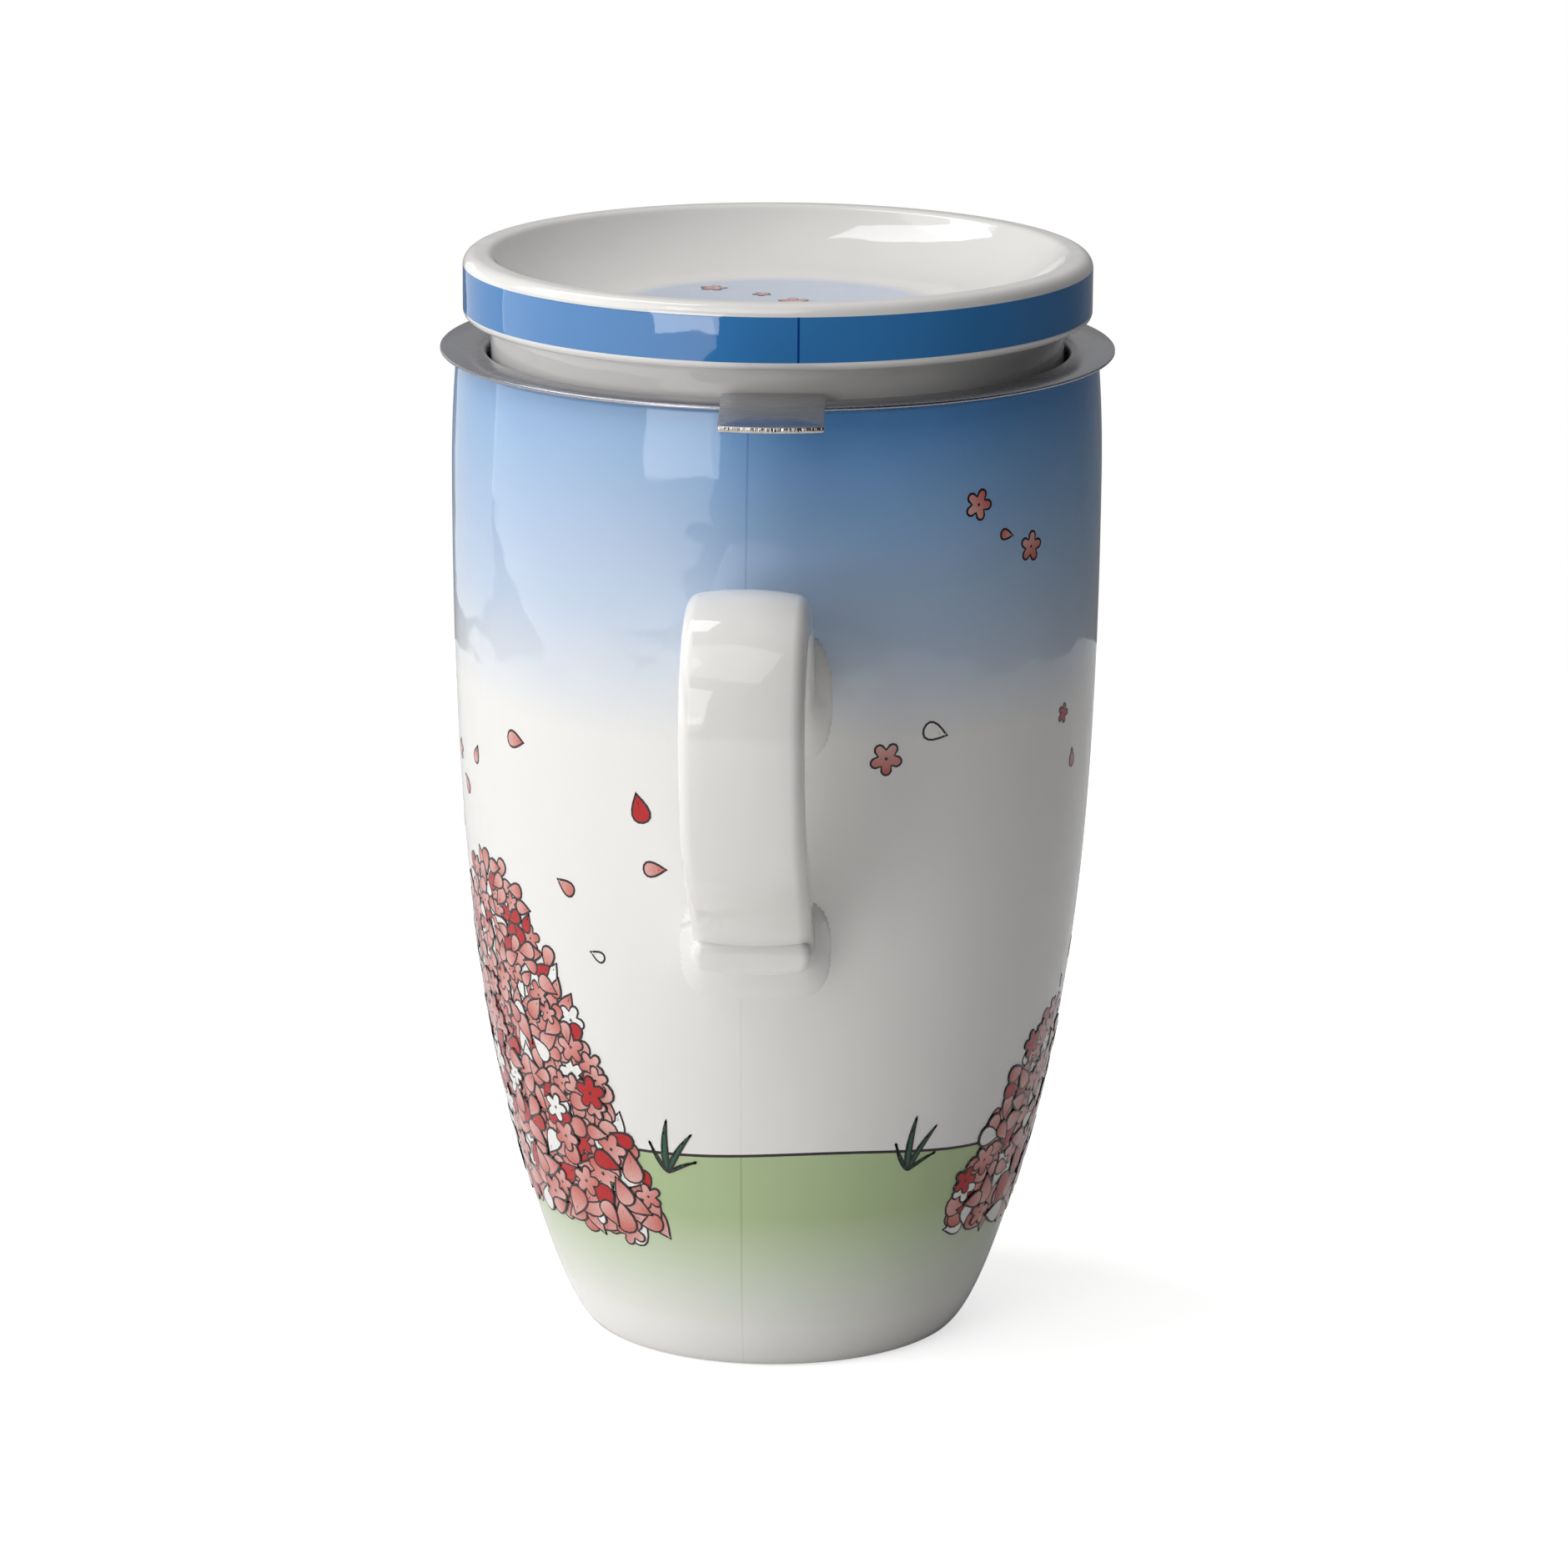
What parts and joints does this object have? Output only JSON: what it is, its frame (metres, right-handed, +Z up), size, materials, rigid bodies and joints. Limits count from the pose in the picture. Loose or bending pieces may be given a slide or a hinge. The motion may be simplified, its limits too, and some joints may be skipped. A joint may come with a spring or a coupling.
{
  "type": "lidded tea mug",
  "caption": "Tall china mug with a strap handle, a lift-out perforated steel infuser with a grab tab, and a loose dish-shaped china lid.",
  "frame": {"origin": "centre of the foot ring, on the surface that the mug stands on", "axes": "+Z up along the mug's axis, handle along -Y, +X to the right of the handle"},
  "size_m": [0.0916, 0.1198, 0.15],
  "materials": {
    "china": "glossy clear glaze over white china",
    "steel": "brushed stainless sheet"
  },
  "bodies": {
    "mug": {"mug_body": "china", "mug_handle": "china"},
    "infuser": {"infuser_rim": "steel", "infuser_tab": "steel", "infuser_wall": "steel", "infuser_base": "steel"},
    "lid": {"lid": "china"}
  },
  "joints": [
    {"name": "infuser_lift", "type": "slide", "parent": "mug", "child": "infuser", "axis": [0, 0, 1], "range_m": [0, 0.1]},
    {"name": "lid_lift", "type": "slide", "parent": "infuser", "child": "lid", "axis": [0, 0, 1], "range_m": [0, 0.06]}
  ]
}
